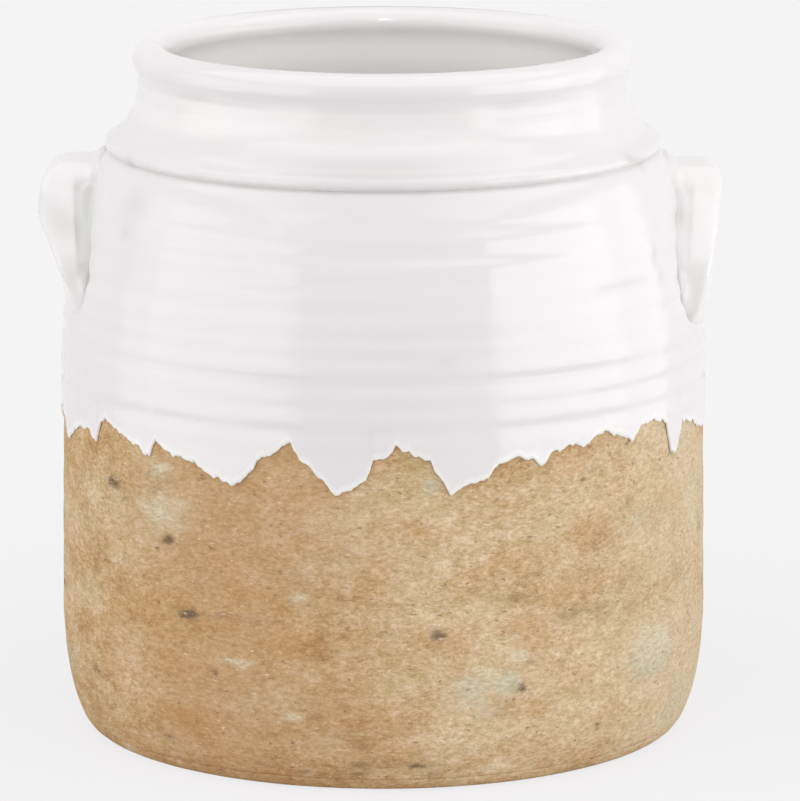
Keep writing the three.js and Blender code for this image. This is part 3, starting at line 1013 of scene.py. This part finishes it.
# the space between the flap and the wall, under the flap's top
def foldLine(ear):
    outer, high = pot["upperRadius"] - ears["foldSetBack"], ear["top"] - ears["flapTop"]
    corner = ears["foldRound"]
    bend = quadratic((outer, high - corner), (outer, high), (outer - corner, high), ears["foldSteps"])
    return [(outer, ear["bottom"])] + bend


def earSag(ear, y, z):
    flatness = smoothStep(ear["bottom"], ear["bottom"] + ears["tailLength"], z)
    bendRadius = 1 / mix(1 / pot["upperRadius"], 1 / ears["bendRadius"], flatness)
    return bendRadius - math.sqrt(bendRadius ** 2 - y * y)


# a bar of a section, bent round the pot
def earBar(ear, line):
    half = ears["foot"] + pot["wall"]
    outline = [(ears["root"], line[-1][1]), (ears["root"], line[0][1])] + line
    bm = extruded([(x, -half, z) for x, z in outline], (0, 2 * half, 0))
    along = [e for e in bm.edges if abs(e.verts[0].co.y - e.verts[1].co.y) > half]
    bmesh.ops.subdivide_edges(bm, edges=along, cuts=ears["bendCuts"], use_grid_fill=True)
    bmesh.ops.recalc_face_normals(bm, faces=bm.faces)
    for vert in bm.verts:
        vert.co.x -= earSag(ear, vert.co.y, vert.co.z)
    return bm


# the arch that the ear shows from its own side, as a bar out through the wall
def earArch(ear, inset):
    foot, shoulder = ears["foot"] - inset, ears["shoulder"] - inset
    low, high = ear["bottom"] + inset, ear["top"] - inset
    widest, shoulderHeight = ear["bottom"] + ears["footRise"], ear["top"] - ears["shoulderDrop"]
    middle = (widest + shoulderHeight) / 2
    footSteps, sideSteps, topSteps = ears["archSteps"]
    outline = quadratic((foot / 2, low), (foot, low), (foot, widest), footSteps)
    outline += quadratic((foot, widest), (foot, middle), (shoulder, shoulderHeight), sideSteps)[1:]
    outline += quadratic((shoulder, shoulderHeight), (shoulder / 2, high), (0, high), topSteps)[1:]
    outline += [(-y, z) for y, z in reversed(outline[:-1])]
    bm = extruded([(ears["archStart"], y, z) for y, z in outline], (ears["archLength"], 0, 0))
    bmesh.ops.recalc_face_normals(bm, faces=bm.faces)
    return bm


# the part of the pot that the ear is cut back to
def earCore():
    rows = pointsAt(shifted(clayLine, -ears["sunk"]), range(*ears["coreRows"]))
    return spun([(0, ears["coreRows"][0])] + rows + [(0, ears["coreTop"])], ears["coreTurns"])


def combine(blank, tool, operation):
    step = blank.modifiers.new(operation.lower(), "BOOLEAN")
    step.operation = operation
    step.solver = "EXACT"
    step.object = tool


def earBlank(ear):
    shapes = {"bar": earBar(ear, earLine(ear)), "fold": earBar(ear, foldLine(ear)), "arch": earArch(ear, 0),
              "foldArch": earArch(ear, ear["foldDepth"]), "core": earCore()}
    blanks = {name: addObject(name + "Blank", bm) for name, bm in shapes.items()}
    bar = blanks["bar"]
    combine(blanks["fold"], blanks["foldArch"], "DIFFERENCE")
    combine(bar, blanks["arch"], "INTERSECT")
    combine(bar, blanks["fold"], "DIFFERENCE")
    combine(bar, blanks["core"], "DIFFERENCE")
    remesh = bar.modifiers.new("remesh", "REMESH")
    remesh.mode = "VOXEL"
    remesh.voxel_size = ears["voxel"]
    finished = bpy.data.meshes.new_from_object(bar.evaluated_get(bpy.context.evaluated_depsgraph_get()))
    bm = bmesh.new()
    bm.from_mesh(finished)
    for mesh in [blank.data for blank in blanks.values()] + [finished]:
        bpy.data.meshes.remove(mesh)  # the blank goes with its mesh
    return bm


# a point's own way out of the softened flap: a fillet where it meets the wall, and lumps
def earMove(ear, vert, stand):
    away = Vector((vert.co.x, vert.co.y, 0)).normalized()
    alongWall = vert.normal - away * vert.normal.dot(away)
    near = max(1 - max(stand, 0.0) / ears["filletHeight"], 0.0) ** 2
    place = (vert.co + Vector((0, 0, ears["lumpStep"] * ear["lumps"]))) / ears["lumpSize"]
    lump = ears["lumpDepth"] * (0.5 + 0.5 * noise.noise(place))
    return alongWall * ears["fillet"] * near - vert.normal * lump


# painted shade on the ear: in the fold, along the wall and in the smudges under the knuckle
def earShade(ear, spot, stand):
    behind = pot["upperRadius"] - ears["foldSetBack"] - (spot.x + earSag(ear, spot.y, spot.z))
    wallShare, wallHeight = ears["wallShade"]
    poolAndShade = ear["pooledAndShaded"] * smoothStep(*ears["shadeEdge"], behind) * smoothStep(*ears["shadeEnds"], abs(spot.y))
    poolAndShade += wallShare * (1 - smoothStep(0.0, wallHeight, stand))
    for x, y, z, size, strength in ear["shadeSmudges"]:
        apart = (spot - Vector((x, y, z))).length / size
        if apart < helper["reach"]:
            poolAndShade += strength * math.exp(-apart * apart)
    return min(poolAndShade, 1.0)


def makeEar(name, ear, stands, side):
    bm = earBlank(ear)
    for i in range(ears["softening"]):
        bmesh.ops.smooth_vert(bm, verts=bm.verts, factor=0.5,
                              use_axis_x=True, use_axis_y=True, use_axis_z=True)
    bm.normal_update()
    layer = bm.verts.layers.float_color.new("tones")
    faceRadius = quickRadius(shifted(clayLine, coat["thickness"] + coat["bond"]))
    moves = []
    for vert in bm.verts:
        stand = vert.co.xy.length - faceRadius(vert.co.z)
        moves.append(earMove(ear, vert, stand))
        pooledAndShaded = earShade(ear, vert.co, stand)
        # painted shade, and the ear whiter by its thickness share outside that shade
        vert[layer] = (pooledAndShaded, 0.0, ear["thickness"] * (1 - pooledAndShaded), 0.0)
    for vert, move in zip(bm.verts, moves):
        spot = vert.co + move
        vert.co = (side * spot.x, side * spot.y, spot.z)
    return addPiece(name, bm, whiteGlaze, [stands])


makeEar("rightEar", ears["right"], "right_ear", 1)
makeEar("leftEar", ears["left"], "left_ear", -1)

# the collar and the rim are hidden under their glaze
for name in ("neck_collar", "rolled_rim"):
    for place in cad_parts[name].material_slots:
        place.material = innerClay


# stage: a pale table, softboxes round the front, a beam into the mouth and the camera

stage = {
    "tableRadius": 520.0,
    "tableCorners": 96,
    "paper": (0.86, 0.86, 0.86),
    "fade": (140.0, 460.0),
    "background": (245, 244, 245),
    "tableShare": 0.13,  # share of real shading that the camera sees on the table
    "worldLight": 0.345,
}

# softboxes, in metres: azimuth, height, distance, width, tall, brightness
softboxes = {
    "leftWide": (-67.3, 0.1, 1.5, 2.2, 1.5, 0.65),
    "leftFront": (-60.5, 0.1, 1.5, 1.7, 1.5, 0.5),
    "rightWide": (78.7, 0.1, 1.5, 2.4, 1.5, 0.8),
    "rightFront": (66.0, 0.1, 1.5, 1.46, 1.5, 0.78),
    "ceiling": (0.0, 1.5, 0.65, 3.6, 2.4, 0.95),
}

# a narrow beam over the front of the rim, on the inside of the collar, in metres
beam = {
    "aim": (0.0, 0.076, 0.211),
    "steepness": 30.0,
    "distance": 1.5,
    "size": (0.19, 0.04),
    "spread": 2.0,
    "power": 0.0062,
}

# in metres, apart from the lens and its sensor
cameraView = {
    "place": (0.0, -2.0, 0.537),
    "aim": (0.0059, 0.0, 0.1146),
    "lens": 257.3,
    "sensor": 36.0,
    "farthest": 20.0,
}


def addCameraMask(tree):
    rays = addNode(tree, "LightPath").outputs
    seen = calculate(tree, "MAXIMUM", rays["Is Camera Ray"], rays["Is Glossy Ray"])
    return calculate(tree, "MAXIMUM", seen, rays["Is Transmission Ray"])


def mixShaders(tree, share, first, second):
    return addNode(tree, "MixShader", {0: share, 1: first.outputs[0], 2: second.outputs[0]})


def makeTable():
    bm = bmesh.new()
    bmesh.ops.create_circle(bm, cap_ends=True, segments=stage["tableCorners"],
                            radius=stage["tableRadius"] * mm)
    table = addObject("table", bm)
    material = newMaterial("tablePaper")
    tree = material.node_tree
    spot = addNode(tree, "TexCoord").outputs["Object"]
    away = addNode(tree, "VectorMath", {0: spot}, operation="LENGTH").outputs["Value"]
    near, far = (edge * mm for edge in stage["fade"])
    fade = mapRange(tree, away, near, far, 1 - stage["tableShare"], 1.0)
    paper = addNode(tree, "BsdfDiffuse", {"Color": (*stage["paper"], 1.0)})
    plain = addNode(tree, "Emission", {"Color": (*linear(stage["background"]), 1.0), "Strength": 1.0})
    toOutput(tree, mixShaders(tree, calculate(tree, "MULTIPLY", addCameraMask(tree), fade), paper, plain))
    table.data.materials.append(material)


def makeWorld():
    world = bpy.data.worlds.new("studio")
    bpy.context.scene.world = world
    world.use_nodes = True
    tree = world.node_tree
    tree.nodes.clear()
    light = addNode(tree, "Background", {"Color": (1.0, 1.0, 1.0, 1.0), "Strength": stage["worldLight"]})
    plain = addNode(tree, "Background", {"Color": (*linear(stage["background"]), 1.0), "Strength": 1.0})
    toOutput(tree, mixShaders(tree, addCameraMask(tree), light, plain), "OutputWorld")


def turnTowards(thing, direction):
    thing.rotation_euler = direction.to_track_quat("-Z", "Y").to_euler()


def addLamp(name, width, tall, place, direction):
    data = bpy.data.lights.new(name, "AREA")
    data.shape = "RECTANGLE"
    data.size = width
    data.size_y = tall
    lamp = bpy.data.objects.new(name, data)
    lamp.location = place
    turnTowards(lamp, direction)
    lamp.visible_camera = False
    bpy.context.scene.collection.objects.link(lamp)
    return data


def makeLamps():
    for name, (azimuth, height, distance, width, tall, brightness) in softboxes.items():
        a = math.radians(azimuth)
        place = Vector((distance * math.sin(a), -distance * math.cos(a), height))
        direction = Vector((0, 0, -1)) if name == "ceiling" else Vector((-place.x, -place.y, 0))
        data = addLamp(name + "Box", width, tall, place, direction)
        data.energy = brightness * math.pi * width * tall
    steep = math.radians(beam["steepness"])
    direction = Vector((0, math.cos(steep), -math.sin(steep)))
    data = addLamp("mouthBeam", *beam["size"], Vector(beam["aim"]) - direction * beam["distance"], direction)
    data.spread = math.radians(beam["spread"])
    data.energy = beam["power"]


def makeCamera():
    data = bpy.data.cameras.new("camera")
    data.lens = cameraView["lens"]
    data.sensor_width = cameraView["sensor"]
    data.clip_end = cameraView["farthest"]
    camera = bpy.data.objects.new("camera", data)
    camera.location = cameraView["place"]
    turnTowards(camera, Vector(cameraView["aim"]) - camera.location)
    bpy.context.scene.collection.objects.link(camera)
    bpy.context.scene.camera = camera


makeTable()
makeWorld()
makeLamps()
makeCamera()
bpy.context.scene.view_settings.view_transform = "Standard"
print("stage, lamps and camera made")
